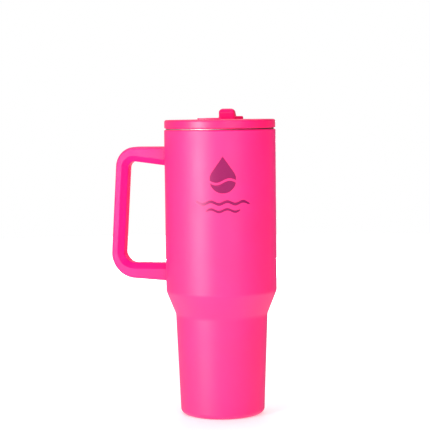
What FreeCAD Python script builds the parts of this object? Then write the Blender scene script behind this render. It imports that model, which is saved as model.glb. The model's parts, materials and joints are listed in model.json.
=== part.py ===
import FreeCAD, Part
import math
import os
import Sketcher
from FreeCAD import Placement, Rotation, Vector

# Insulated steel tumbler with a flip-top lid and a side handle.
# Origin: centre of the base on the table. +Z up, the handle points to -X,
# and the sip opening is at +Y. Millimetres.

SIZES = {
    # outer steel shell
    "body_radius": 49.0,
    "body_top": 251.75,
    "shoulder_top": 109.5,
    "shoulder_bottom": 88.8,
    "waist_radius": 40.6,
    "foot_radius": 37.1,
    "foot_round": 4.5,
    "crease_round": 8.0,
    "split_height": 112.0,
    "top_round": 1.3,
    "wall": 0.8,
    "foot_ring_inner": 29.6,
    "lip_radius": 47.4,
    # inner steel liner, held off the shell by the vacuum
    "vacuum_gap": 3.0,
    "liner_wall": 0.7,
    "liner_bottom": 8.3,
    "liner_corner": 9.0,
    "lip_top": 252.4,
    "flare_low": 247.6,
    "flare_high": 250.0,
    # closed base
    "dish_brim": 32.4,
    "dish_radius": 29.0,
    "dish_low": 2.6,
    "pad_radius": 27.9,
    "pad_edge": 0.6,
    "pad_side_room": 0.6,
    "pad_top_room": 0.1,
    "seal_radius": 3.0,
    "seal_drop": 0.7,
    "port_radius": 1.5,
    "getter_radius": 4.0,
    "getter_height": 2.0,
    "getter_place": 14.0,
    # handle outline, as distances from the axis and heights
    "handle_width": 18.6,
    "arm_top": 236.7,
    "arm_under_root": 219.6,
    "arm_under_tip": 224.5,
    "grip_outer_top": 93.2,
    "grip_outer_bottom": 100.8,
    "grip_inner_top": 82.9,
    "grip_inner_bottom": 88.9,
    "low_arm_over": 133.2,
    "low_arm_under_tip": 120.6,
    "low_arm_under_root": 117.3,
    "outer_corner_top": 18.0,
    "outer_corner_low": 22.0,
    "inner_corner_top": 6.0,
    "inner_corner_low": 10.0,
    "outer_bevel_face": 2.9,
    "outer_bevel_side": 1.7,
    "inner_bevel_face": 4.1,
    "inner_bevel_side": 5.1,
    "handle_soften": 0.6,
    "seat_gap": 0.1,
    "root_depth": 4.0,
    # handle brackets, screws and plugs
    "bracket_foot": 1.2,
    "bracket_foot_width": 11.0,
    "bracket_foot_height": 9.0,
    "tongue_sunk": 2.0,
    "tongue_reach": 63.0,
    "tongue_width": 8.0,
    "tongue_height": 5.0,
    "tongue_up_low": 226.8,
    "tongue_down_low": 123.6,
    "bracket_hole_play": 0.05,
    "socket_play": 0.15,
    "screw_place": 58.0,
    "screw_radius": 1.5,
    "screw_head_radius": 3.1,
    "screw_head_height": 2.0,
    "screw_length": 9.0,
    "drive_radius": 1.2,
    "drive_depth": 1.1,
    "shank_play": 0.1,
    "shank_spare": 0.6,
    "counterbore_play": 0.05,
    "counterbore_depth": 12.0,
    "screw_up_seat": 225.2,
    "screw_down_seat": 122.0,
    "plug_radius": 3.4,
    "plug_height": 1.3,
    "plug_inset": 0.4,
    # lid
    "lid_radius": 48.8,
    "lid_low": 253.0,
    "lid_top": 260.3,
    "lid_wall": 2.4,
    "lid_edge_round": 1.8,
    "lid_low_round": 0.5,
    "rim_flange": 47.6,
    "rim_flange_low": 252.5,
    "skirt_radius": 43.9,
    "skirt_low": 238.0,
    "groove_radius": 42.4,
    "groove_low": 243.0,
    "groove_high": 247.0,
    "hollow_radius": 40.6,
    "collar_high": 255.0,
    "collar_play": 0.1,
    "skirt_floor": 2.0,
    "skirt_chamfer": 1.2,
    "fin_radius": 44.3,
    "gasket_radius": 43.6,
    "gasket_side_play": 0.1,
    "gasket_bore_play": 0.05,
    "fin_first": 0.5,
    "fin_second": 2.1,
    "fin_slope": 0.5,
    "fin_tip": 0.3,
    "fin_back": 0.4,
    "ramp_reach": 38.8,
    "ramp_rise": 1.6,
    "ramp_start": 0.5,
    "ramp_sunk": 1.0,
    "ramp_blank_width": 30.0,
    "ramp_blank_height": 4.0,
    "slice_spare": 4.0,
    # sip opening and its closure
    "sector_half": 15.4,
    "closure_reach": 46.3,
    "closure_start": 24.9,
    "closure_low": 259.4,
    "closure_high": 263.0,
    "well_floor": 259.1,
    "well_gap": 0.35,
    "well_rear_room": 1.0,
    "well_height": 4.0,
    "tab_width": 13.8,
    "tab_top": 269.8,
    "tab_front_base": 24.8,
    "tab_front_top": 23.3,
    "tab_back_top": 29.5,
    "tab_back_base": 35.6,
    "tab_sunk_low": 1.3,
    "tab_sunk_high": 0.2,
    "tab_corner": 3.6,
    "tab_edge": 0.9,
    "head_corner": 3.5,
    "head_edge": 1.3,
    "pivot_back": 22.5,
    "pivot_height": 258.0,
    "barrel_radius": 2.3,
    "barrel_width": 13.6,
    "barrel_side_play": 0.2,
    "pocket_floor_play": 0.3,
    "pocket_depth_spare": 0.9,
    "pocket_offset": 0.15,
    "pocket_height": 8.0,
    "block_cheek": 4.0,
    "block_depth": 8.0,
    "block_floor": 1.2,
    "block_sunk": 0.5,
    "web_inset": 0.8,
    "web_offset": 1.3,
    "web_depth": 2.6,
    "web_rise": 0.3,
    "pin_radius": 0.8,
    "pin_length": 19.6,
    "pin_play": 0.05,
    "pin_hole_play": 0.02,
    "pin_end_play": 0.05,
    "sip_back": 34.0,
    "sip_width": 14.0,
    "sip_depth": 8.0,
    "sip_wall": 1.5,
    "stopper_gap": 0.35,
    "stopper_low": 256.6,
    "stem_radius": 2.0,
    "stem_height": 2.0,
    "stem_play": 0.02,
    "stem_end_play": 0.1,
    "stem_sunk": 0.2,
    "vent_radius": 1.2,
    "vent_place": 4.0,
    "vent_seat_play": 0.3,
    "vent_stem_play": 0.05,
    "vent_cap_brim": 1.6,
    "vent_collar_brim": 0.9,
    "vent_lip": 0.8,
    "vent_bore_radius": 0.6,
    "cutter_spare": 1.0,
}

# Lengths closer than this count as equal, and ring sizes closer than the next one
SAME = 0.01
SAME_RING = 0.02
# How far past a bound an edge's middle may lie and still count as inside it
NEAR = 0.5

doc = FreeCAD.newDocument("tumbler")
sheet = doc.addObject("Spreadsheet::Sheet", "Sizes")
for row, (name, value) in enumerate(SIZES.items(), 1):
    sheet.set("A%d" % row, name)
    sheet.set("B%d" % row, str(value))
    sheet.setAlias("B%d" % row, name)
doc.recompute()


class Dim:
    """A size that carries its value and the spreadsheet expression it comes from."""

    def __init__(self, value, text):
        self.value = value
        self.text = text

    def join(self, other, sign, result):
        """This size and another one joined by an arithmetic sign."""
        return Dim(result, "(%s %s %s)" % (self.text, sign, dim(other).text))

    def __add__(self, other):
        return self.join(other, "+", self.value + dim(other).value)

    def __sub__(self, other):
        return self.join(other, "-", self.value - dim(other).value)

    def __mul__(self, other):
        return self.join(other, "*", self.value * dim(other).value)

    def __truediv__(self, other):
        return self.join(other, "/", self.value / dim(other).value)

    def __neg__(self):
        return Dim(-self.value, "(0 - %s)" % self.text)


def dim(size):
    """Any number or size as a Dim."""
    return size if isinstance(size, Dim) else Dim(float(size), repr(float(size)))


def cell(name):
    """The spreadsheet size of that name."""
    return Dim(SIZES[name], "Sizes.%s" % name)


def sine(angle):
    """Sine of a size in degrees."""
    return Dim(math.sin(math.radians(angle.value)), "sin(%s * 1 deg)" % angle.text)


def cosine(angle):
    """Cosine of a size in degrees."""
    return Dim(math.cos(math.radians(angle.value)), "cos(%s * 1 deg)" % angle.text)


def bind(thing, prop, size):
    """Ties a property of an object to the sheet."""
    thing.setExpression(prop, dim(size).text)


def new_body(label):
    """An empty design body with a label of its own."""
    body = doc.addObject("PartDesign::Body", label)
    body.Label = label
    return body


def origin_plane(body, role):
    """One of the body's own origin planes."""
    return next(item for item in body.Origin.OriginFeatures if item.Role == role)


def fix_point(sketch, geo, end, x, y):
    """Fixes a point of the sketch by its two distances from the origin."""
    for kind, axis, size in (("DistanceX", -2, dim(x)), ("DistanceY", -1, dim(y))):
        if abs(size.value) < 1e-9:
            sketch.addConstraint(Sketcher.Constraint("PointOnObject", geo, end, axis))
            continue
        index = sketch.addConstraint(Sketcher.Constraint(kind, -1, 1, geo, end, size.value))
        bind(sketch, "Constraints[%d]" % index, size)


def add_loop(sketch, points):
    """A closed outline of straight segments through the points."""
    count = len(points)
    for number, point in enumerate(points):
        after = points[(number + 1) % count]
        start = Vector(dim(point[0]).value, dim(point[1]).value, 0)
        end = Vector(dim(after[0]).value, dim(after[1]).value, 0)
        sketch.addGeometry(Part.LineSegment(start, end), False)
    first = sketch.GeometryCount - count
    for number, point in enumerate(points):
        geo = first + number
        following = first + (number + 1) % count
        sketch.addConstraint(Sketcher.Constraint("Coincident", geo, 2, following, 1))
        fix_point(sketch, geo, 1, *point)


def new_sketch(body, role, name, loop, height=None):
    """A sketch of one outline on an origin plane, or that far above it."""
    sketch = body.newObject("Sketcher::SketchObject", name)
    sketch.AttachmentSupport = (origin_plane(body, role), [""])
    sketch.MapMode = "FlatFace"
    if height is not None:
        sketch.AttachmentOffset = Placement(Vector(0, 0, height.value), Rotation())
        bind(sketch, "AttachmentOffset.Base.z", height)
    add_loop(sketch, loop)
    return sketch


def revolve(body, points):
    """Turns a half section, given as radius and height, about Z."""
    turned = body.newObject("PartDesign::Revolution", body.Name + "_turn")
    turned.Profile = new_sketch(body, "XZ_Plane", body.Name + "_section", points)
    turned.ReferenceAxis = (turned.Profile[0], ["V_Axis"])
    turned.Angle = 360.0
    doc.recompute()


def extrude(body, kind, sketch, length, middle=False):
    """Pads or pockets a sketch and checks that it changed the solid the right way."""
    before = body.Shape.Volume if body.Tip else 0.0
    feature = body.newObject("PartDesign::" + kind, sketch.Name + "_" + kind.lower())
    feature.Profile = sketch
    feature.Length = dim(length).value
    bind(feature, "Length", length)
    feature.Midplane = middle
    doc.recompute()
    change = body.Shape.Volume - before
    if change == 0 or (change > 0) != (kind == "Pad"):
        raise RuntimeError("%s changed the volume by %.3f" % (feature.Name, change))


def dress(body, kind, size, test, second=None):
    """Fillets or chamfers each edge of the body that passes the test."""
    base = body.Tip
    names = ["Edge%d" % (n + 1) for n, edge in enumerate(base.Shape.Edges) if test(edge)]
    if not names:
        raise RuntimeError("no edge to dress on " + body.Name)
    feature = body.newObject("PartDesign::" + kind, body.Name + "_" + kind.lower())
    feature.Base = (base, names)
    if kind == "Fillet":
        feature.Radius = size.value
        bind(feature, "Radius", size)
    else:
        feature.ChamferType = 1
        feature.Size = size.value
        feature.Size2 = second.value
        bind(feature, "Size", size)
        bind(feature, "Size2", second)
    doc.recompute()


def ring_at(radius, height):
    """A test for the round edge of that radius and height."""
    def test(edge):
        if not isinstance(edge.Curve, Part.Circle):
            return False
        same_radius = abs(edge.Curve.Radius - dim(radius).value) < SAME_RING
        return same_radius and abs(edge.Curve.Center.z - dim(height).value) < SAME_RING
    return test


def primitive(kind, name, sizes, place=None):
    """A Part primitive with its sizes and its place tied to the sheet."""
    thing = doc.addObject("Part::" + kind, name)
    for prop, size in sizes.items():
        setattr(thing, prop, dim(size).value)
        bind(thing, prop, size)
    for axis, size in (place or {}).items():
        bind(thing, "Placement.Base." + axis, size)
    return thing


def combine(kind, name, base, tool):
    """A Part boolean of two objects."""
    joined = doc.addObject("Part::" + kind, name)
    joined.Base = base
    joined.Tool = tool
    doc.recompute()
    return joined


def soften(name, base, radius, test):
    """A Part fillet on each edge of the base that passes the test, its radius read from the sheet."""
    feature = doc.addObject("Part::Fillet", name)
    feature.Base = base
    chosen = [n + 1 for n, edge in enumerate(base.Shape.Edges) if test(edge)]
    if not chosen:
        raise RuntimeError("no edge to soften on " + name)
    feature.Edges = [(number, radius.value, radius.value) for number in chosen]
    doc.recompute()
    return feature


def centred_box(name, x, y, z_low, width_x, width_y, height):
    """A box centred on x and y, standing on z_low."""
    sizes = {"Length": width_x, "Width": width_y, "Height": height}
    place = {"x": dim(x) - dim(width_x) / 2, "y": dim(y) - dim(width_y) / 2, "z": dim(z_low)}
    return primitive("Box", name, sizes, place)


def post(name, radius, x, y, z_low, height):
    """An upright cylinder standing on z_low."""
    place = {"x": dim(x), "y": dim(y), "z": dim(z_low)}
    return primitive("Cylinder", name, {"Radius": radius, "Height": height}, place)


# How far the liner's outside stays inside the shell's outside
LINER_OFFSET = cell("wall") + cell("vacuum_gap")
ZERO = dim(0)


def outer_shell():
    """Coated outer wall above the shoulder: a straight tube turned in at the lip."""
    wall = cell("wall")
    inner_top = cell("body_top") - wall
    body = new_body("outer_shell")
    revolve(body, [
        (cell("body_radius"), cell("split_height")),
        (cell("body_radius"), cell("body_top")),
        (cell("lip_radius"), cell("body_top")),
        (cell("lip_radius"), inner_top),
        (cell("body_radius") - wall, inner_top),
        (cell("body_radius") - wall, cell("split_height")),
    ])
    dress(body, "Fillet", cell("top_round"), ring_at(cell("body_radius"), cell("body_top")))
    dress(body, "Fillet", cell("top_round") - wall, ring_at(cell("body_radius") - wall, inner_top))
    return body


def soften_creases(body, wide, narrow, wall):
    """Rounds the shoulder's two creases on a wall's outside and inside."""
    for radius in (wide, wide - wall):
        dress(body, "Fillet", cell("crease_round"), ring_at(radius, cell("shoulder_top")))
    for radius in (narrow, narrow - wall):
        dress(body, "Fillet", cell("crease_round"), ring_at(radius, cell("shoulder_bottom")))


def shell_foot():
    """Coated outer wall below the tube: shoulder and slim foot, turned in at the base."""
    wall = cell("wall")
    body = new_body("shell_foot")
    revolve(body, [
        (cell("foot_ring_inner"), ZERO),
        (cell("foot_radius"), ZERO),
        (cell("waist_radius"), cell("shoulder_bottom")),
        (cell("body_radius"), cell("shoulder_top")),
        (cell("body_radius"), cell("split_height")),
        (cell("body_radius") - wall, cell("split_height")),
        (cell("body_radius") - wall, cell("shoulder_top")),
        (cell("waist_radius") - wall, cell("shoulder_bottom")),
        (cell("foot_radius") - wall, wall),
        (cell("foot_ring_inner"), wall),
    ])
    soften_creases(body, cell("body_radius"), cell("waist_radius"), wall)
    dress(body, "Fillet", cell("foot_round"), ring_at(cell("foot_radius"), ZERO))
    dress(body, "Fillet", cell("foot_round") - wall, ring_at(cell("foot_radius") - wall, wall))
    return body


def inner_shell():
    """Bare steel liner above the shoulder: a tube flared out to a lip at the mouth."""
    liner = cell("liner_wall")
    outside = cell("body_radius") - LINER_OFFSET
    body = new_body("inner_shell")
    revolve(body, [
        (outside, cell("split_height")),
        (outside, cell("flare_low")),
        (cell("lip_radius"), cell("flare_high")),
        (cell("lip_radius"), cell("lip_top")),
        (cell("lip_radius") - liner, cell("lip_top")),
        (cell("lip_radius") - liner, cell("flare_high") + liner / 2),
        (outside - liner, cell("flare_low") + liner / 2),
        (outside - liner, cell("split_height")),
    ])
    return body


def liner_cup():
    """Bare steel liner below its tube: shoulder, slim foot and floor."""
    liner = cell("liner_wall")
    outside = cell("body_radius") - LINER_OFFSET
    waist = cell("waist_radius") - LINER_OFFSET
    foot = cell("foot_radius") - LINER_OFFSET
    floor = cell("liner_bottom") + liner
    body = new_body("liner_cup")
    revolve(body, [
        (ZERO, cell("liner_bottom")),
        (foot, cell("liner_bottom")),
        (waist, cell("shoulder_bottom")),
        (outside, cell("shoulder_top")),
        (outside, cell("split_height")),
        (outside - liner, cell("split_height")),
        (outside - liner, cell("shoulder_top")),
        (waist - liner, cell("shoulder_bottom")),
        (foot - liner, floor),
        (ZERO, floor),
    ])
    soften_creases(body, outside, waist, liner)
    dress(body, "Fillet", cell("liner_corner"), ring_at(foot, cell("liner_bottom")))
    dress(body, "Fillet", cell("liner_corner") - liner, ring_at(foot - liner, floor))
    return body


def base_dish():
    """Steel dish that closes the shell from below, with the hole the air was drawn out of."""
    wall = cell("wall")
    inner = cell("dish_radius") - wall
    low = cell("dish_low")
    body = new_body("base_dish")
    revolve(body, [
        (cell("port_radius"), low),
        (inner, low),
        (inner, wall),
        (cell("dish_brim"), wall),
        (cell("dish_brim"), wall * 2),
        (cell("dish_radius"), wall * 2),
        (cell("dish_radius"), low + wall),
        (cell("port_radius"), low + wall),
    ])
    return body


def vacuum_seal():
    """Solder bead that closes the hole in the dish."""
    low = cell("dish_low")
    body = new_body("vacuum_seal")
    revolve(body, [
        (ZERO, low - cell("seal_drop")),
        (cell("seal_radius"), low - cell("seal_drop")),
        (cell("seal_radius"), low),
        (cell("port_radius"), low),
        (cell("port_radius"), low + cell("wall")),
        (ZERO, low + cell("wall")),
    ])
    return body


def base_pad():
    """Soft anti-slip disc in the foot's recess, level with the foot ring, that hides the seal."""
    top = cell("dish_low")
    clear = cell("seal_radius") + cell("pad_side_room")
    roof = top - cell("seal_drop") - cell("pad_top_room")
    body = new_body("base_pad")
    revolve(body, [
        (ZERO, ZERO),
        (cell("pad_radius"), ZERO),
        (cell("pad_radius"), top),
        (clear, top),
        (clear, roof),
        (ZERO, roof),
    ])
    dress(body, "Fillet", cell("pad_edge"), ring_at(cell("pad_radius"), ZERO))
    return body


def getter():
    """Pill under the liner that soaks up stray gas in the vacuum."""
    low = cell("liner_bottom") - cell("getter_height")
    return post("getter", cell("getter_radius"), cell("getter_place"), 0, low, cell("getter_height"))


def handle_outline(root):
    """The C of the handle: top arm, leaning grip and low arm, with both roots in the body."""
    return [
        (root, cell("arm_top")),
        (-cell("grip_outer_top"), cell("arm_top")),
        (-cell("grip_outer_bottom"), cell("low_arm_under_tip")),
        (root, cell("low_arm_under_root")),
        (root, cell("low_arm_over")),
        (-cell("grip_inner_bottom"), cell("low_arm_over")),
        (-cell("grip_inner_top"), cell("arm_under_tip")),
        (root, cell("arm_under_root")),
    ]


def crossing_edge_at(x, z):
    """A test for the handle corner at that place, whose edge runs from front to back."""
    def test(edge):
        first, last = edge.Vertexes[0], edge.Vertexes[-1]
        across = abs(first.Y - last.Y) > SIZES["handle_width"] - SAME
        return across and math.hypot(first.X - x.value, first.Z - z.value) < SAME
    return test


def along_handle(root, inner):
    """A test for the edges along the handle's inside (the finger opening) or its outside."""
    def test(edge):
        middle = edge.valueAt((edge.FirstParameter + edge.LastParameter) / 2)
        level = abs(edge.Vertexes[0].Y - edge.Vertexes[-1].Y) < SAME
        if not level or middle.x > root.value - SAME:
            return False
        beside = middle.x > -SIZES["grip_inner_bottom"] - NEAR
        between = SIZES["low_arm_over"] - NEAR < middle.z < SIZES["arm_under_tip"] + NEAR
        return (beside and between) == inner
    return test


def handle_moulding():
    """The handle's plate with its round corners, bevels and softened creases."""
    root = cell("root_depth") - cell("body_radius")
    half = cell("handle_width") / 2
    body = new_body("handle_moulding")
    outline = new_sketch(body, "XZ_Plane", "handle_outline", handle_outline(root))
    extrude(body, "Pad", outline, cell("handle_width"), middle=True)
    corners = (
        ("outer_corner_top", -cell("grip_outer_top"), cell("arm_top")),
        ("outer_corner_low", -cell("grip_outer_bottom"), cell("low_arm_under_tip")),
        ("inner_corner_top", -cell("grip_inner_top"), cell("arm_under_tip")),
        ("inner_corner_low", -cell("grip_inner_bottom"), cell("low_arm_over")),
    )
    for radius, x, z in corners:
        dress(body, "Fillet", cell(radius), crossing_edge_at(x, z))
    for side, inner in (("outer", False), ("inner", True)):
        on_face = cell(side + "_bevel_face")
        on_side = cell(side + "_bevel_side")
        dress(body, "Chamfer", on_face, along_handle(root, inner), second=on_side)
        if not has_crease_at(body, half - on_side):
            body.Tip.FlipDirection = True
            doc.recompute()
        if not has_crease_at(body, half - on_side):
            raise RuntimeError("the handle's bevel lies the wrong way")
    for inner in (False, True):
        dress(body, "Fillet", cell("handle_soften"), along_handle(root, inner))
    return body


def has_crease_at(body, depth):
    """Whether the handle has edges at that distance from its middle plane."""
    return any(abs(abs(vertex.Y) - depth.value) < SAME for vertex in body.Shape.Vertexes)


def bracket_tools(name, low, grow):
    """Foot plate and tongue of a handle bracket, larger all round by grow."""
    height = cell("tongue_height")
    middle = low + height / 2
    inner = cell("body_radius")
    foot_block = centred_box(
        name + "_foot_block", -inner, 0, middle - cell("bracket_foot_height") / 2 - grow,
        cell("bracket_foot_width") * 2, cell("bracket_foot_width") + dim(grow) * 2,
        cell("bracket_foot_height") + dim(grow) * 2)
    foot_bound = post(name + "_foot_bound", inner + cell("bracket_foot") + grow,
                      0, 0, 0, cell("body_top"))
    foot = combine("Common", name + "_foot", foot_block, foot_bound)
    reach = cell("tongue_reach") + grow
    sunk = cell("tongue_sunk")
    tongue = centred_box(
        name + "_tongue", -(reach + inner - sunk) / 2, 0, low - grow,
        reach - inner + sunk, cell("tongue_width") + dim(grow) * 2, height + dim(grow) * 2)
    return combine("Fuse", name + "_blank", foot, tongue)


def handle_bracket(name, low):
    """Steel bracket welded to the shell: a curved foot and a tongue with a screw hole."""
    blank = bracket_tools(name, low, 0)
    wall = post(name + "_wall", cell("body_radius"), 0, 0, 0, cell("body_top"))
    seated = combine("Cut", name + "_seated", blank, wall)
    spare = cell("cutter_spare")
    hole = post(name + "_hole", cell("screw_radius") + cell("bracket_hole_play"),
                -cell("screw_place"), 0, low - spare, cell("tongue_height") + spare * 2)
    return combine("Cut", name, seated, hole)


def screw_solid(name, seat):
    """One screw, head down, its head's top face on the seat."""
    x = -cell("screw_place")
    head = post(name + "_head", cell("screw_head_radius"), x, 0,
                seat - cell("screw_head_height"), cell("screw_head_height"))
    shank = post(name + "_shank", cell("screw_radius"), x, 0, seat, cell("screw_length"))
    drive = post(name + "_drive", cell("drive_radius"), x, 0,
                 seat - cell("screw_head_height"), cell("drive_depth"))
    whole = combine("Fuse", name + "_whole", head, shank)
    return combine("Cut", name, whole, drive)


def screw_pocket(name, seat):
    """The room that a screw and its plug take out of the handle, open downwards."""
    x = -cell("screw_place")
    spare = cell("cutter_spare")
    depth = cell("counterbore_depth")
    bore = post(name + "_bore", cell("screw_radius") + cell("shank_play"), x, 0,
                seat - spare, cell("screw_length") + spare + cell("shank_spare"))
    counterbore = post(name + "_counterbore", cell("plug_radius") + cell("counterbore_play"),
                       x, 0, seat - depth, depth)
    return combine("Fuse", name, bore, counterbore)


def plug_solid(name, face):
    """One soft plug that fills the mouth of a screw's counterbore, flush with the arm."""
    return post(name, cell("plug_radius"), -cell("screw_place"), 0, face, cell("plug_height"))


def arm_face_at_screw(root_height, tip_height):
    """Height of an arm's sloping underside at the screw, just inside the surface."""
    tip = cell("grip_inner_top") if root_height == "arm_under_root" else cell("grip_outer_bottom")
    root = cell("body_radius") - cell("root_depth")
    run = (cell("screw_place") - root) / (tip - root)
    rise = cell(tip_height) - cell(root_height)
    return cell(root_height) + rise * run + cell("plug_inset")


def pair(name, first, second):
    """Two identical fasteners kept as one group of separate solids."""
    group = doc.addObject("Part::Compound", name)
    group.Links = [first, second]
    doc.recompute()
    return group


def handle():
    """The handle, hollowed for the body, its brackets, screws and plugs."""
    shape = handle_moulding()
    seat = post("handle_seat", cell("body_radius") + cell("seat_gap"), 0, 0, 0, cell("body_top"))
    tools = [
        seat,
        bracket_tools("upper_socket", cell("tongue_up_low"), cell("socket_play")),
        bracket_tools("lower_socket", cell("tongue_down_low"), cell("socket_play")),
        screw_pocket("upper_pocket", cell("screw_up_seat")),
        screw_pocket("lower_pocket", cell("screw_down_seat")),
    ]
    for number, tool in enumerate(tools, 1):
        shape = combine("Cut", "handle_cut_%d" % number, shape, tool)
    return shape


def lid_cover_body():
    """The lid's top moulding: a flat cap with a straight side wall."""
    wall = cell("lid_wall")
    body = new_body("lid_cap")
    revolve(body, [
        (ZERO, cell("lid_top") - wall),
        (ZERO, cell("lid_top")),
        (cell("lid_radius"), cell("lid_top")),
        (cell("lid_radius"), cell("lid_low")),
        (cell("lid_radius") - wall, cell("lid_low")),
        (cell("lid_radius") - wall, cell("lid_top") - wall),
    ])
    dress(body, "Fillet", cell("lid_edge_round"), ring_at(cell("lid_radius"), cell("lid_top")))
    dress(body, "Fillet", cell("lid_low_round"), ring_at(cell("lid_radius"), cell("lid_low")))
    return body


def sector(name, reach, start, margin, low, height, direction):
    """A pie slice with straight sides that aim at the lid's centre, widened by margin."""
    half = cell("sector_half")
    slope = sine(half) / cosine(half)
    far = dim(reach) + cell("slice_spare")
    side = dim(margin) / cosine(half)
    body = new_body(name)
    outline = [
        (-(dim(start) * slope + side), dim(start) * direction),
        (dim(start) * slope + side, dim(start) * direction),
        (far * slope + side, far * direction),
        (-(far * slope + side), far * direction),
    ]
    sketch = new_sketch(body, "XY_Plane", name + "_plan", outline, height=dim(low))
    extrude(body, "Pad", sketch, height)
    bound = post(name + "_bound", reach, 0, 0, low, height)
    return combine("Common", name + "_slice", body, bound)


def thumb_ramp():
    """The low wedge on the lid's front half that rises from the centre towards the rim."""
    top = cell("lid_top")
    low = top - cell("ramp_sunk")
    far = cell("ramp_reach") + cell("slice_spare")
    slope = cell("ramp_rise") / cell("ramp_reach")
    wedge = new_body("ramp_wedge")
    side_view = [(ZERO, top), (ZERO, low), (-far, low), (-far, top + slope * far)]
    sketch = new_sketch(wedge, "YZ_Plane", "ramp_profile", side_view)
    extrude(wedge, "Pad", sketch, cell("ramp_blank_width"), middle=True)
    pie = sector("ramp", cell("ramp_reach"), cell("ramp_start"), 0, low, cell("ramp_blank_height"), -1)
    return combine("Common", "thumb_ramp", wedge, pie)


def lid_cover():
    """Lid top with its ramp, the closure's well, hinge block, sip opening and vent."""
    pivot = cell("pivot_height")
    top = cell("lid_top")
    under = top - cell("lid_wall")
    shape = combine("Fuse", "cap_with_ramp", lid_cover_body(), thumb_ramp())
    pocket_low = pivot - cell("barrel_radius") - cell("pocket_floor_play")
    block_low = pocket_low - cell("block_floor")
    spare = cell("cutter_spare")
    block = centred_box("hinge_block", 0, cell("pivot_back"), block_low,
                        cell("barrel_width") + cell("block_cheek") * 2, cell("block_depth"),
                        under - block_low + cell("block_sunk"))
    shape = combine("Fuse", "cap_with_block", shape, block)
    hinge_pocket = centred_box(
        "hinge_pocket", 0, cell("pivot_back") + cell("pocket_offset"), pocket_low,
        cell("barrel_width") + cell("barrel_side_play") * 2,
        cell("barrel_radius") * 2 + cell("pocket_depth_spare"), cell("pocket_height"))
    well = sector("well", cell("closure_reach") + cell("well_gap"),
                  cell("closure_start") - cell("well_rear_room"),
                  cell("well_gap"), cell("well_floor"), cell("well_height"), 1)
    opening = rounded_slot("sip_opening", 0, under - spare, cell("lid_wall") + spare * 2)
    vent = post("vent_hole", cell("vent_radius"), 0, cell("vent_place"),
                under - spare, cell("lid_wall") + spare * 2)
    pin_hole = lying_post("pin_hole", cell("pin_radius") + cell("pin_hole_play"),
                          cell("pin_length") + cell("pin_end_play") * 2)
    for number, tool in enumerate((hinge_pocket, well, opening, vent, pin_hole), 1):
        shape = combine("Cut", "lid_cover_cut_%d" % number, shape, tool)
    return shape


def lying_post(name, radius, length):
    """A cylinder along the closure's pivot, centred on the lid's middle plane."""
    thing = primitive("Cylinder", name, {"Radius": radius, "Height": length})
    thing.Placement = Placement(Vector(0, 0, 0), Rotation(Vector(0, 1, 0), 90))
    bind(thing, "Placement.Base.x", -dim(length) / 2)
    bind(thing, "Placement.Base.y", cell("pivot_back"))
    bind(thing, "Placement.Base.z", cell("pivot_height"))
    doc.recompute()
    return thing


def rounded_slot(name, grow, low, height):
    """An upright prism with the sip opening's outline, larger all round by grow."""
    width = cell("sip_width") + dim(grow) * 2
    depth = cell("sip_depth") + dim(grow) * 2
    half = width / 2 - depth / 2
    middle = centred_box(name + "_middle", 0, cell("sip_back"), low, half * 2, depth, height)
    shape = middle
    for side, x in (("left", -half), ("right", half)):
        end = post(name + "_" + side, depth / 2, x, cell("sip_back"), low, height)
        shape = combine("Fuse", name + "_with_" + side, shape, end)
    return shape


def lid_plug():
    """Lower half of the lid: rim flange, skirt with a seal groove, and floor."""
    body = new_body("plug_cup")
    low = cell("skirt_low")
    floor = low + cell("skirt_floor")
    inside = cell("lid_radius") - cell("lid_wall") - cell("collar_play")
    revolve(body, [
        (ZERO, low),
        (cell("skirt_radius"), cell("skirt_low")),
        (cell("skirt_radius"), cell("groove_low")),
        (cell("groove_radius"), cell("groove_low")),
        (cell("groove_radius"), cell("groove_high")),
        (cell("skirt_radius"), cell("groove_high")),
        (cell("skirt_radius"), cell("rim_flange_low")),
        (cell("rim_flange"), cell("rim_flange_low")),
        (cell("rim_flange"), cell("lid_low")),
        (inside, cell("lid_low")),
        (inside, cell("collar_high")),
        (cell("hollow_radius"), cell("collar_high")),
        (cell("hollow_radius"), floor),
        (ZERO, floor),
    ])
    bevel = cell("skirt_chamfer")
    dress(body, "Chamfer", bevel, ring_at(cell("skirt_radius"), low), second=bevel)
    spare = cell("cutter_spare")
    mouth = rounded_slot("sip_mouth", cell("sip_wall"), low - spare,
                         cell("skirt_floor") + spare * 2)
    vent = post("vent_seat", cell("vent_radius") + cell("vent_seat_play"), 0, cell("vent_place"),
                low - spare, cell("skirt_floor") + spare * 2)
    shape = combine("Cut", "plug_with_mouth", body, mouth)
    return combine("Cut", "lid_plug_cut", shape, vent)


def sip_tube():
    """Upright tube from the plug's floor to the cover, which the drink runs through."""
    low = cell("skirt_low")
    height = cell("lid_top") - cell("lid_wall") - low
    spare = cell("cutter_spare")
    outside = rounded_slot("tube_outside", cell("sip_wall"), low, height)
    bore = rounded_slot("tube_bore", 0, low - spare, height + spare * 2)
    return combine("Cut", "sip_tube_cut", outside, bore)


def lid_gasket():
    """Soft ring in the skirt's groove with two fins that wipe the liner."""
    low = cell("groove_low") + cell("gasket_side_play")
    high = cell("groove_high") - cell("gasket_side_play")
    bore = cell("groove_radius") + cell("gasket_bore_play")
    land = cell("gasket_radius")
    fin = cell("fin_radius")
    body = new_body("lid_gasket")
    points = [(bore, low), (land, low)]
    for start in (low + cell("fin_first"), low + cell("fin_second")):
        tip_low = start + cell("fin_slope")
        tip_high = tip_low + cell("fin_tip")
        points += [(land, start), (fin, tip_low), (fin, tip_high), (land, tip_high + cell("fin_back"))]
    points += [(land, high), (bore, high)]
    revolve(body, points)
    return body


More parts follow.
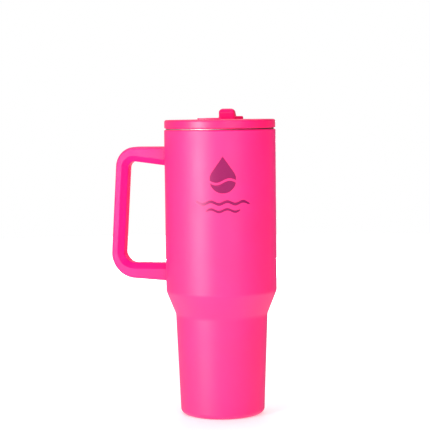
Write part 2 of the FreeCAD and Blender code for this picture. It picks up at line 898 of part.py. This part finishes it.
def vent_valve():
    """Soft valve pushed into the lid's floor that lets air in as the drink goes out."""
    low = cell("skirt_low")
    y = cell("vent_place")
    lip = cell("vent_lip")
    floor = cell("skirt_floor")
    radius = cell("vent_radius")
    seat = radius + cell("vent_seat_play") - cell("vent_stem_play")
    stem = post("vent_stem", seat, 0, y, low - lip, floor + lip * 2)
    cap = post("vent_cap", radius + cell("vent_cap_brim"), 0, y, low - lip, lip)
    collar = post("vent_collar", radius + cell("vent_collar_brim"), 0, y, low + floor, lip)
    bore = post("vent_bore", cell("vent_bore_radius"), 0, y, low, floor + lip * 2)
    shape = combine("Fuse", "vent_stem_and_cap", stem, cap)
    shape = combine("Fuse", "vent_solid", shape, collar)
    return combine("Cut", "vent_valve_cut", shape, bore)


def closure_head(low, high):
    """Pie-slice head with round rear corners and a soft top edge."""
    blank = sector("closure_head", cell("closure_reach"), cell("closure_start"), 0, low, high - low, 1)

    def rear_corner(edge):
        """The two upright edges beside the rim."""
        ends = edge.Vertexes
        upright = abs(ends[0].Z - ends[-1].Z) > SAME
        return upright and all(vertex.Y > SIZES["sip_back"] for vertex in ends)

    rounded = soften("head_rounded", blank, cell("head_corner"), rear_corner)

    def top_edge(edge):
        """The edges round the top face, apart from the one under the tab."""
        ends = edge.Vertexes
        middle = edge.valueAt((edge.FirstParameter + edge.LastParameter) / 2)
        level = all(abs(vertex.Z - SIZES["closure_high"]) < SAME for vertex in ends)
        return level and middle.y > SIZES["closure_start"] + SAME

    return soften("head_softened", rounded, cell("head_edge"), top_edge)


def closure_tab():
    """Thumb tab that leans towards the lid's centre, with round top corners and soft faces."""
    low = cell("closure_low") + cell("tab_sunk_low")
    step = cell("closure_high") - cell("tab_sunk_high")
    body = new_body("closure_tab")
    side_view = [
        (cell("tab_front_base"), low),
        (cell("tab_back_base"), low),
        (cell("tab_back_base"), step),
        (cell("tab_back_top"), cell("tab_top")),
        (cell("tab_front_top"), cell("tab_top")),
    ]
    sketch = new_sketch(body, "YZ_Plane", "tab_profile", side_view)
    extrude(body, "Pad", sketch, cell("tab_width"), middle=True)
    half = SIZES["tab_width"] / 2

    def top_corner(edge):
        """The tab's two top corners, which run from front to back."""
        at_side = all(abs(abs(vertex.X) - half) < SAME for vertex in edge.Vertexes)
        return at_side and all(abs(vertex.Z - SIZES["tab_top"]) < SAME for vertex in edge.Vertexes)

    dress(body, "Fillet", cell("tab_corner"), top_corner)

    def face_rim(edge):
        """The edges round the tab's front and back faces, above the head."""
        ends = edge.Vertexes
        middle = edge.valueAt((edge.FirstParameter + edge.LastParameter) / 2)
        front_to_back = abs(ends[0].X - ends[-1].X) < SAME and abs(ends[0].Z - ends[-1].Z) < SAME
        return middle.z > SIZES["closure_high"] and not front_to_back

    dress(body, "Fillet", cell("tab_edge"), face_rim)
    return body


def closure():
    """Flip-top lever: pie-slice head, thumb tab and hinge barrel."""
    low = cell("closure_low")
    spare = cell("cutter_spare")
    width = cell("barrel_width")
    barrel = lying_post("closure_barrel", cell("barrel_radius"), width)
    web = centred_box("closure_web", 0, cell("pivot_back") + cell("web_offset"),
                      cell("pivot_height") + cell("web_rise"), width - cell("web_inset") * 2,
                      cell("web_depth"), cell("barrel_radius") - cell("web_rise"))
    bore = lying_post("closure_bore", cell("pin_radius") + cell("pin_play"), width + spare)
    socket = post("stem_socket", cell("stem_radius") + cell("stem_play"), 0, cell("sip_back"),
                  low - spare, cell("stem_height") + spare + cell("stem_end_play"))
    shape = closure_head(low, cell("closure_high"))
    for name, piece in (("tab", closure_tab()), ("barrel", barrel), ("web", web)):
        shape = combine("Fuse", "closure_with_" + name, shape, piece)
    for name, tool in (("bore", bore), ("socket", socket)):
        shape = combine("Cut", "closure_with_" + name, shape, tool)
    return shape


def sip_stopper():
    """Soft stopper under the closure's head that fills the sip opening."""
    low = cell("stopper_low")
    top = cell("closure_low")
    stopper = rounded_slot("stopper", -cell("stopper_gap"), low, top - low)
    sunk = cell("stem_sunk")
    stem = post("stopper_stem", cell("stem_radius"), 0, cell("sip_back"),
                top - sunk, cell("stem_height") + sunk)
    return combine("Fuse", "stopper_with_stem", stopper, stem)


def hinge_pin():
    """Steel pin that the closure turns on."""
    return lying_post("hinge_pin", cell("pin_radius"), cell("pin_length"))


PIECES = {
    "outer_shell": outer_shell(),
    "shell_foot": shell_foot(),
    "inner_shell": inner_shell(),
    "liner_cup": liner_cup(),
    "base_dish": base_dish(),
    "vacuum_seal": vacuum_seal(),
    "base_pad": base_pad(),
    "getter": getter(),
    "handle": handle(),
    "upper_bracket": handle_bracket("upper_bracket", cell("tongue_up_low")),
    "lower_bracket": handle_bracket("lower_bracket", cell("tongue_down_low")),
    "handle_screws": pair(
        "handle_screws",
        screw_solid("upper_screw", cell("screw_up_seat")),
        screw_solid("lower_screw", cell("screw_down_seat"))),
    "screw_plugs": pair(
        "screw_plugs",
        plug_solid("upper_plug", arm_face_at_screw("arm_under_root", "arm_under_tip")),
        plug_solid("lower_plug", arm_face_at_screw("low_arm_under_root", "low_arm_under_tip"))),
    "lid_cover": lid_cover(),
    "lid_plug": lid_plug(),
    "sip_tube": sip_tube(),
    "lid_gasket": lid_gasket(),
    "vent_valve": vent_valve(),
    "closure_lever": closure(),
    "sip_stopper": sip_stopper(),
    "hinge_pin": hinge_pin(),
}

doc.recompute()
for thing in doc.Objects:
    if "Invalid" in thing.State or "Error" in thing.State:
        raise RuntimeError("%s failed: %s" % (thing.Label, thing.State))

os.makedirs("parts", exist_ok=True)
for node, piece in PIECES.items():
    piece.Label = node
    if piece.Shape.isNull() or not piece.Shape.isValid():
        raise RuntimeError("%s has no valid shape" % node)
    piece.Shape.exportStep("parts/%s.step" % node)
    print("%-16s %2d solid(s) %10.1f mm3" % (node, len(piece.Shape.Solids), piece.Shape.Volume))
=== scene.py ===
import json
import math

import bmesh
import bpy
from mathutils import Matrix, Vector


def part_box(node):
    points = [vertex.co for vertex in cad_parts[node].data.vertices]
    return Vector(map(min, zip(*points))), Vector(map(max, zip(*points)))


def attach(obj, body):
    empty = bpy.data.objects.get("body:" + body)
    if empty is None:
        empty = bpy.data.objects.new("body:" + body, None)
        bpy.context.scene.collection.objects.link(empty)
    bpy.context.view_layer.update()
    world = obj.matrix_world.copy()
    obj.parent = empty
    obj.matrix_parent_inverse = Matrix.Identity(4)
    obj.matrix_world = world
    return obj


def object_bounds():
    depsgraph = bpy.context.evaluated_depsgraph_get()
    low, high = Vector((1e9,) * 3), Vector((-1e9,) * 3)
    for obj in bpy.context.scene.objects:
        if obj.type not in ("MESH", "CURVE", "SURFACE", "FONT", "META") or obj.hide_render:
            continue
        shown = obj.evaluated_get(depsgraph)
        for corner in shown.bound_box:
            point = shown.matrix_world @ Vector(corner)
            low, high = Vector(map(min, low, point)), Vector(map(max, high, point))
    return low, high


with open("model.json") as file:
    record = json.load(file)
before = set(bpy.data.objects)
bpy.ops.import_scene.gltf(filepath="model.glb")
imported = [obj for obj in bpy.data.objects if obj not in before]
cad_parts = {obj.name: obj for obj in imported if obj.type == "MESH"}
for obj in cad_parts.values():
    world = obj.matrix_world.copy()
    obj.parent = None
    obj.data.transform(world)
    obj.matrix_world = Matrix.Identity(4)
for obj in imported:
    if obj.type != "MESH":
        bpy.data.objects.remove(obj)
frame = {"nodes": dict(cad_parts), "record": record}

# The insulated tumbler's looks. Metres, +Z up, handle at -X, sip opening at +Y.
CAD_LOW, CAD_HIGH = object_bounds()
SHELL_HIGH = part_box("outer_shell")[1]
SHELL_RADIUS = SHELL_HIGH.x
SHELL_TOP = SHELL_HIGH.z
MM = 0.001

scene = bpy.context.scene
nodes = frame["nodes"]


# ---------------------------------------------------------------- colours
def linear(red, green, blue):
    """A display colour, each channel 0 to 255, as linear light with alpha."""
    def channel(value):
        share = value / 255
        return share / 12.92 if share <= 0.04045 else ((share + 0.055) / 1.055) ** 2.4
    return (channel(red), channel(green), channel(blue), 1.0)


PINK = linear(255, 3, 118)
PINK_DEEP = linear(253, 2, 114)
LID_PINK = linear(255, 3, 107)
LID_DEEP = linear(253, 2, 102)
CLOSURE_PINK = linear(252, 1, 106)
CLOSURE_DEEP = linear(248, 1, 101)
INNER_PINK = linear(225, 12, 104)
INNER_DEEP = linear(212, 8, 96)
PRINT_DARK = linear(138, 4, 80)
PRINT_LIGHT = linear(156, 8, 92)
# Bare steel's two colours carry painted shade: they are darker than clean steel to stand in for the
# shade in the narrow gap under the lid, and the same darker colours go on all bare steel.
STEEL_WITH_PAINTED_SHADE = linear(176, 174, 172)
STEEL_WITH_PAINTED_SHADE_DARK = linear(142, 140, 139)
BRIGHT_STEEL = linear(198, 196, 194)
BRIGHT_DARK = linear(170, 168, 167)
SOLDER = linear(150, 150, 154)
SOLDER_DARK = linear(96, 96, 100)
GETTER = linear(96, 96, 100)
GETTER_DARK = linear(70, 70, 74)
SILICONE = linear(238, 228, 228)
SILICONE_DEEP = linear(226, 214, 215)
RUBBER = linear(214, 12, 100)
RUBBER_DEEP = linear(196, 8, 90)
FLOOR_WHITE = linear(246, 246, 246)
FLOOR_COOL = linear(244, 244, 245)
WHITE = (1.0, 1.0, 1.0, 1.0)


# ---------------------------------------------------------------- materials
# The stretch of a noise's values that is spread over two colours, and over two roughnesses
COLOUR_NOISE = (0.35, 0.65)
ROUGHNESS_NOISE = (0.3, 0.7)


class NodeTree:
    """A node tree, with short calls that add, link and scale."""

    def __init__(self, tree):
        self.tree = tree

    def add(self, kind, **settings):
        """A new node with its settings."""
        node = self.tree.nodes.new(kind)
        for key, value in settings.items():
            setattr(node, key, value)
        return node

    def link(self, source, target):
        self.tree.links.new(source, target)

    def maths(self, operation, *values):
        """A Math node's result; each value is a number or another node's output."""
        node = self.add("ShaderNodeMath", operation=operation)
        for socket, value in zip(node.inputs, values):
            if isinstance(value, (int, float)):
                socket.default_value = value
            else:
                self.link(value, socket)
        return node.outputs[0]

    def scaled(self, value, source, result, **settings):
        """A value moved from one range to another, and held inside it."""
        node = self.add("ShaderNodeMapRange", **settings)
        limits = zip(("From Min", "From Max", "To Min", "To Max"), (*source, *result))
        for name, limit in limits:
            node.inputs[name].default_value = limit
        self.link(value, node.inputs["Value"])
        return node.outputs["Result"]


class Shader(NodeTree):
    """A new material's node tree with its Principled shader."""

    def __init__(self, name):
        self.material = bpy.data.materials.new(name)
        self.material.use_nodes = True
        super().__init__(self.material.node_tree)
        self.surface = self.tree.nodes["Principled BSDF"]
        self.place = self.add("ShaderNodeTexCoord").outputs["Object"]
        self.normal = None

    def set(self, **values):
        """Uniform values, set on the shader's own sockets."""
        for key, value in values.items():
            self.surface.inputs[key.replace("_", " ")].default_value = value

    def noise(self, scale, detail, place=None):
        """Noise with that many features per metre, or per unit of another place."""
        node = self.add("ShaderNodeTexNoise")
        node.inputs["Scale"].default_value = scale
        node.inputs["Detail"].default_value = detail
        self.link(place or self.place, node.inputs["Vector"])
        return node.outputs["Fac"]

    def colour(self, fac, first, second):
        """Base colour that drifts between two close colours."""
        ramp = self.add("ShaderNodeValToRGB")
        stops = zip(ramp.color_ramp.elements, COLOUR_NOISE, (first, second))
        for stop, position, tint in stops:
            stop.position = position
            stop.color = tint
        self.link(fac, ramp.inputs["Fac"])
        self.link(ramp.outputs["Color"], self.surface.inputs["Base Color"])

    def roughness(self, fac, low, high):
        """Roughness that varies between two values."""
        spread = self.scaled(fac, ROUGHNESS_NOISE, (low, high))
        self.link(spread, self.surface.inputs["Roughness"])

    def bump(self, height, depth, strength):
        """A bump from a height field, stacked on the last one; depth is in metres."""
        node = self.add("ShaderNodeBump")
        node.inputs["Distance"].default_value = depth
        node.inputs["Strength"].default_value = strength
        self.link(height, node.inputs["Height"])
        if self.normal is not None:
            self.link(self.normal, node.inputs["Normal"])
        self.normal = node.outputs["Normal"]
        self.link(self.normal, self.surface.inputs["Normal"])

    def turned_place(self, fine, round_steps):
        """Coordinates for marks that run round the cup's axis: radius, height and angle."""
        split = self.add("ShaderNodeSeparateXYZ")
        self.link(self.place, split.inputs[0])
        across, along, up = split.outputs
        squares = self.maths("MULTIPLY", across, across), self.maths("MULTIPLY", along, along)
        radius = self.maths("SQRT", self.maths("ADD", *squares))
        angle = self.maths("ARCTAN2", along, across)
        join = self.add("ShaderNodeCombineXYZ")
        self.link(self.maths("MULTIPLY", radius, fine), join.inputs["X"])
        self.link(self.maths("MULTIPLY", up, fine), join.inputs["Y"])
        self.link(self.maths("MULTIPLY", angle, round_steps), join.inputs["Z"])
        return join.outputs[0]


def powder_coat():
    """Satin powder coat: fine orange peel, with the faintest drift of colour."""
    shader = Shader("powder_coat")
    shader.colour(shader.noise(scale=28, detail=3), PINK_DEEP, PINK)
    shader.roughness(shader.noise(scale=60, detail=4), low=0.49, high=0.55)
    shader.bump(shader.noise(scale=1100, detail=3), depth=0.03 * MM, strength=0.55)
    shader.bump(shader.noise(scale=3600, detail=2), depth=0.01 * MM, strength=0.5)
    shader.set(Specular_IOR_Level=0.85)
    return shader.material


def moulded(name, light, deep, rough, grain, gloss):
    """Moulded plastic with a fine spark-eroded grain."""
    shader = Shader(name)
    flow = shader.noise(scale=120, detail=4)
    shader.colour(shader.noise(scale=35, detail=3), deep, light)
    shader.roughness(flow, low=rough - 0.03, high=rough + 0.05)
    shader.bump(flow, depth=0.04 * MM, strength=0.12)
    shader.bump(shader.noise(scale=2400, detail=3), depth=0.012 * MM, strength=grain)
    shader.set(Specular_IOR_Level=gloss)
    return shader.material


def brushed(name, light, dark, rough, fine=5200, round_steps=5.0):
    """Bare steel with brush marks that run round the axis."""
    shader = Shader(name)
    marks = shader.noise(scale=1.0, detail=4, place=shader.turned_place(fine, round_steps))
    shader.colour(marks, dark, light)
    shader.roughness(marks, low=rough - 0.06, high=rough + 0.10)
    shader.bump(marks, depth=0.008 * MM, strength=0.5)
    shader.set(Metallic=1.0, Anisotropic=0.4)
    return shader.material


def soft(name, light, deep, rough, subsurface=0.0):
    """Soft rubber or silicone with a fine matte tooth."""
    shader = Shader(name)
    shader.colour(shader.noise(scale=90, detail=3), deep, light)
    shader.roughness(shader.noise(scale=200, detail=3), low=rough - 0.05, high=rough + 0.05)
    shader.bump(shader.noise(scale=2600, detail=2), depth=0.01 * MM, strength=0.6)
    shader.set(Specular_IOR_Level=0.4, Subsurface_Weight=subsurface, Subsurface_Scale=4.0 * MM)
    return shader.material


def cast_metal(name, light, dark, rough, lumps):
    """Dull metal with a lumpy skin, such as solder or a pressed pill."""
    shader = Shader(name)
    skin = shader.noise(scale=lumps, detail=4)
    shader.colour(skin, dark, light)
    shader.roughness(skin, low=rough, high=rough + 0.12)
    shader.bump(skin, depth=0.06 * MM, strength=0.7)
    shader.set(Metallic=1.0)
    return shader.material


def tonal_print():
    """The raised mark: darker than the coat, with a slight metallic glint."""
    shader = Shader("tonal_print")
    grit = shader.noise(scale=5200, detail=3)
    shader.colour(grit, PRINT_DARK, PRINT_LIGHT)
    shader.roughness(grit, low=0.36, high=0.50)
    shader.bump(grit, depth=0.01 * MM, strength=0.7)
    shader.set(Metallic=0.25, Specular_IOR_Level=0.6)
    return shader.material


MATERIALS = {
    "powder_coat": powder_coat(),
    # Bare steel with painted shade: its colours are darkened for the shaded gap under the lid.
    "bare_steel": brushed("bare_steel", STEEL_WITH_PAINTED_SHADE, STEEL_WITH_PAINTED_SHADE_DARK, rough=0.44),
    "fastener_steel": brushed("fastener_steel", BRIGHT_STEEL, BRIGHT_DARK, rough=0.24,
                              fine=9000, round_steps=40.0),
    "solder": cast_metal("solder", SOLDER, SOLDER_DARK, rough=0.36, lumps=900),
    "getter_alloy": cast_metal("getter_alloy", GETTER, GETTER_DARK, rough=0.6, lumps=2600),
    "handle_plastic": moulded("handle_plastic", PINK, PINK_DEEP,
                              rough=0.42, grain=0.5, gloss=0.26),
    "lid_plastic": moulded("lid_plastic", LID_PINK, LID_DEEP,
                           rough=0.42, grain=0.5, gloss=0.70),
    "lid_inner_plastic": moulded("lid_inner_plastic", INNER_PINK, INNER_DEEP,
                                 rough=0.44, grain=0.5, gloss=0.3),
    "closure_plastic": moulded("closure_plastic", CLOSURE_PINK, CLOSURE_DEEP,
                               rough=0.40, grain=0.3, gloss=0.22),
    "silicone": soft("silicone", SILICONE, SILICONE_DEEP, rough=0.48, subsurface=0.35),
    "soft_plug": soft("soft_plug", RUBBER, RUBBER_DEEP, rough=0.55),
}
PRINT = tonal_print()

for part in frame["record"]["subparts"]:
    slots = nodes[part["node"]].data.materials
    slots.clear()
    slots.append(MATERIALS[part["material_slot"]])


# A hair of rounding, by a modifier, on the sharp edges of three pieces
EDGE_ROUNDING = {"lid_cover": 0.25 * MM, "lid_plug": 0.25 * MM, "base_dish": 0.20 * MM}
SHARP = math.radians(32)
for node_name, width in EDGE_ROUNDING.items():
    rounding = nodes[node_name].modifiers.new("edge_rounding", "BEVEL")
    rounding.width = width
    rounding.segments = 2
    rounding.limit_method = "ANGLE"
    rounding.angle_limit = SHARP
    rounding.harden_normals = True


# ---------------------------------------------------------------- printed mark
MARK_ANGLE = math.radians(-73.5)    # its middle, from +X round the axis
MARK_PROUD = 0.12 * MM              # how far it stands out of the shell
MARK_SUNK = 0.03 * MM               # how far it reaches into the shell
DROP_BELOW_TOP = 42.5 * MM          # from the shell's top to the middle of the drop's bowl


def print_on_shell(name, columns, steps):
    """A thin closed print wrapped on the shell; columns are (across, low, high) in metres."""
    mesh = bmesh.new()

    def corner(across, height, proud):
        turn = MARK_ANGLE + across / SHELL_RADIUS
        reach = SHELL_RADIUS + proud
        return mesh.verts.new((reach * math.cos(turn), reach * math.sin(turn), height))

    def layer(proud):
        return [
            [corner(across, low + (high - low) * step / steps, proud) for step in range(steps + 1)]
            for across, low, high in columns
        ]

    outer = layer(MARK_PROUD)
    inner = layer(-MARK_SUNK)
    last = len(columns) - 1
    for i in range(last):
        for j in range(steps):
            mesh.faces.new((outer[i][j], outer[i + 1][j], outer[i + 1][j + 1], outer[i][j + 1]))
            mesh.faces.new((inner[i][j], inner[i][j + 1], inner[i + 1][j + 1], inner[i + 1][j]))
        mesh.faces.new((outer[i][0], inner[i][0], inner[i + 1][0], outer[i + 1][0]))
        mesh.faces.new((outer[i][steps], outer[i + 1][steps], inner[i + 1][steps], inner[i][steps]))
    for j in range(steps):
        mesh.faces.new((outer[0][j], outer[0][j + 1], inner[0][j + 1], inner[0][j]))
        mesh.faces.new((outer[last][j], inner[last][j], inner[last][j + 1], outer[last][j + 1]))
    bmesh.ops.recalc_face_normals(mesh, faces=mesh.faces)
    data = bpy.data.meshes.new(name)
    mesh.to_mesh(data)
    mesh.free()
    data.materials.append(PRINT)
    piece = bpy.data.objects.new(name, data)
    scene.collection.objects.link(piece)
    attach(piece, "tumbler")


def drop_mark():
    """A water drop split by a wave: a round bowl with straight flanks up to a tip."""
    bowl = 11.5 * MM
    tip = 20.0 * MM
    rise = bowl / tip
    flank = bowl * math.sqrt(1 - rise * rise)
    slope = (tip - bowl * rise) / flank
    middle = SHELL_TOP - DROP_BELOW_TOP
    wave_middle = -1.5 * MM
    wave_swing = 1.9 * MM
    gap = 1.0 * MM
    thinnest = 0.2 * MM
    count = 96

    def under(across):
        return -math.sqrt(max(bowl * bowl - across * across, 0.0))

    def over(across):
        if abs(across) < flank:
            return tip - abs(across) * slope
        return -under(across)

    upper, lower = [], []
    for step in range(count + 1):
        across = bowl * (2 * step / count - 1)
        split = wave_middle + wave_swing * math.sin(across / bowl * math.pi)
        top = (across, middle + max(split + gap, under(across)), middle + over(across))
        bottom = (across, middle + under(across), middle + min(split - gap, over(across)))
        if top[2] - top[1] > thinnest:
            upper.append(top)
        if bottom[2] - bottom[1] > thinnest:
            lower.append(bottom)
    print_on_shell("mark_drop_upper", upper, steps=10)
    print_on_shell("mark_drop_lower", lower, steps=8)


def ripple_mark(name, below_top, half_width, thickness):
    """One ripple line under the drop, with blunt tapered ends."""
    half_wave = 7.0 * MM
    swing = 1.1 * MM
    bluntness = 8
    thinnest_share = 0.05
    count = 80
    waves = half_width / half_wave
    columns = []
    for step in range(count + 1):
        share = 2 * step / count - 1
        taper = math.sqrt(max(1 - share ** bluntness, thinnest_share))
        middle = SHELL_TOP - below_top + swing * math.sin(share * waves * math.pi)
        reach = thickness / 2 * taper
        columns.append((share * half_width, middle - reach, middle + reach))
    print_on_shell(name, columns, steps=2)


drop_mark()
ripple_mark("mark_ripple_long", below_top=62.0 * MM, half_width=24.0 * MM, thickness=2.6 * MM)
ripple_mark("mark_ripple_short", below_top=68.5 * MM, half_width=15.0 * MM, thickness=2.2 * MM)


# ---------------------------------------------------------------- stage
# Turns are degrees round the tumbler, positive to the camera's right
CAMERA_TURN = 14.0                  # from straight in front, at -Y
CAMERA_DISTANCE = 1.2235
CAMERA_HEIGHT = 0.2666
CAMERA_PITCH = 4.233                # degrees, looking down
CAMERA_YAW = -0.237
CAMERA_ROLL = -0.673
CAMERA_LENS = 116.2                 # millimetres, as is the sensor's width
CAMERA_SENSOR = 36.0
CAMERA_NEAR = 0.05
CAMERA_FAR = 60.0

FLOOR_RADIUS = 1.8
FLOOR_SIDES = 96
FLOOR_DROP = 0.2 * MM               # keeps the floor's face just clear of the foot's
FLOOR_DRIFT = 0.4                   # changes of colour per metre
FLOOR_GLOW = 0.32                   # strength near the tumbler
FLOOR_EDGE_GLOW = 0.9               # strength further out
FLOOR_BLEND = (0.25, 0.75)          # shares of the radius between which it changes

WORLD_TURN = -125.0                 # from the camera's side to the brightest side
WORLD_RISE = 0.35                   # how much the brightest side leans upwards
WORLD_FRONT = 0.03
WORLD_BACK = 0.42
WORLD_FACING = (-0.55, 0.75)        # dot products, from the dimmest side to the brightest
WORLD_BELOW = 1.2
WORLD_DOWN = (-0.65, -0.10)         # a direction's Z, from steeply down to slightly down


def floor():
    """A pale table under the tumbler, glowing more where less of the lamps' light falls."""
    bpy.ops.mesh.primitive_circle_add(vertices=FLOOR_SIDES, radius=FLOOR_RADIUS, fill_type="NGON",
                                      location=(0, 0, CAD_LOW.z - FLOOR_DROP))
    ground = bpy.context.object
    ground.name = "floor"
    shader = Shader("floor")
    shader.colour(shader.noise(scale=FLOOR_DRIFT, detail=1), FLOOR_WHITE, FLOOR_COOL)
    shader.set(Roughness=0.9, Specular_IOR_Level=0.1, Emission_Color=FLOOR_WHITE)
    distance = shader.add("ShaderNodeVectorMath", operation="LENGTH")
    shader.link(shader.place, distance.inputs[0])
    blend = [FLOOR_RADIUS * share for share in FLOOR_BLEND]
    glow = shader.scaled(distance.outputs["Value"], blend, (FLOOR_GLOW, FLOOR_EDGE_GLOW),
                         interpolation_type="SMOOTHSTEP")
    shader.link(glow, shader.surface.inputs["Emission Strength"])
    ground.data.materials.append(shader.material)
    ground.visible_glossy = False


def aim(thing, target):
    """Points a light at a place."""
    direction = Vector(target) - thing.location
    thing.rotation_euler = direction.to_track_quat("-Z", "Y").to_euler()


def softbox(name, turn, height, distance, width, tall, power, target_height, mirrored=True):
    """A rectangular light facing the axis; mirrored says whether it shows in reflections."""
    data = bpy.data.lights.new(name, "AREA")
    data.shape = "RECTANGLE"
    data.size = width
    data.size_y = tall
    data.energy = power
    lamp = bpy.data.objects.new(name, data)
    lamp.visible_glossy = mirrored
    scene.collection.objects.link(lamp)
    angle = math.radians(CAMERA_TURN + turn)
    lamp.location = (distance * math.sin(angle), -distance * math.cos(angle), height)
    aim(lamp, (0, 0, target_height))


def studio_world():
    """A white studio, brightest behind the tumbler to the left; the camera sees plain white."""
    world = bpy.data.worlds.new("studio")
    scene.world = world
    world.use_nodes = True
    studio = NodeTree(world.node_tree)
    studio.tree.nodes.clear()
    direction = studio.add("ShaderNodeTexCoord").outputs["Generated"]

    facing = studio.add("ShaderNodeVectorMath", operation="DOT_PRODUCT")
    angle = math.radians(CAMERA_TURN + WORLD_TURN)
    facing.inputs[1].default_value = (math.sin(angle), -math.cos(angle), WORLD_RISE)
    studio.link(direction, facing.inputs[0])
    around = studio.scaled(facing.outputs["Value"], WORLD_FACING, (WORLD_FRONT, WORLD_BACK),
                           interpolation_type="SMOOTHSTEP")

    # Reflections miss the floor, so the world shows them its pale light from below
    split = studio.add("ShaderNodeSeparateXYZ")
    studio.link(direction, split.inputs[0])
    below = studio.scaled(split.outputs["Z"], WORLD_DOWN, (WORLD_BELOW, 0.0),
                          interpolation_type="SMOOTHSTEP")

    lit = studio.add("ShaderNodeBackground")
    seen = studio.add("ShaderNodeBackground")
    for background in (lit, seen):
        background.inputs["Color"].default_value = WHITE
    studio.link(studio.maths("ADD", around, below), lit.inputs["Strength"])
    ray = studio.add("ShaderNodeLightPath")
    mix = studio.add("ShaderNodeMixShader")
    studio.link(ray.outputs["Is Camera Ray"], mix.inputs["Fac"])
    studio.link(lit.outputs[0], mix.inputs[1])
    studio.link(seen.outputs[0], mix.inputs[2])
    out = studio.add("ShaderNodeOutputWorld")
    studio.link(mix.outputs[0], out.inputs["Surface"])


def camera():
    """A product camera about as high as the closure's tab, looking a little down."""
    yaw, pitch, roll = (math.radians(a) for a in (CAMERA_YAW, CAMERA_PITCH, CAMERA_ROLL))
    right = Vector((math.cos(yaw), -math.sin(yaw), 0))
    level = Vector((math.sin(yaw), math.cos(yaw), 0))
    up = level * math.sin(pitch) + Vector((0, 0, math.cos(pitch)))
    ahead = level * math.cos(pitch) - Vector((0, 0, math.sin(pitch)))
    right, up = (right * math.cos(roll) + up * math.sin(roll),
                 up * math.cos(roll) - right * math.sin(roll))
    turn = Matrix.Rotation(math.radians(CAMERA_TURN), 3, "Z")
    axes = [turn @ axis for axis in (right, up, -ahead)]
    data = bpy.data.cameras.new("camera")
    data.sensor_width = CAMERA_SENSOR
    data.lens = CAMERA_LENS
    data.clip_start = CAMERA_NEAR
    data.clip_end = CAMERA_FAR
    view = bpy.data.objects.new("camera", data)
    scene.collection.objects.link(view)
    matrix = Matrix(axes).transposed().to_4x4()
    matrix.translation = turn @ Vector((0, -CAMERA_DISTANCE, CAMERA_HEIGHT))
    view.matrix_world = matrix
    scene.camera = view


camera()
floor()
studio_world()
softbox("key_strip", turn=-43, height=0.23, distance=1.3, width=0.34, tall=0.82,
        power=17.5, target_height=0.17)
softbox("front_box", turn=24, height=0.55, distance=1.35, width=0.8, tall=0.8,
        power=13, target_height=0.13, mirrored=False)
softbox("rim_strip", turn=178, height=0.12, distance=1.3, width=0.40, tall=0.26,
        power=7, target_height=0.12)
softbox("top_box", turn=180, height=1.6, distance=0.5, width=1.6, tall=1.6,
        power=13.5, target_height=0.10)
scene.view_settings.view_transform = "Standard"
scene.view_settings.look = "None"
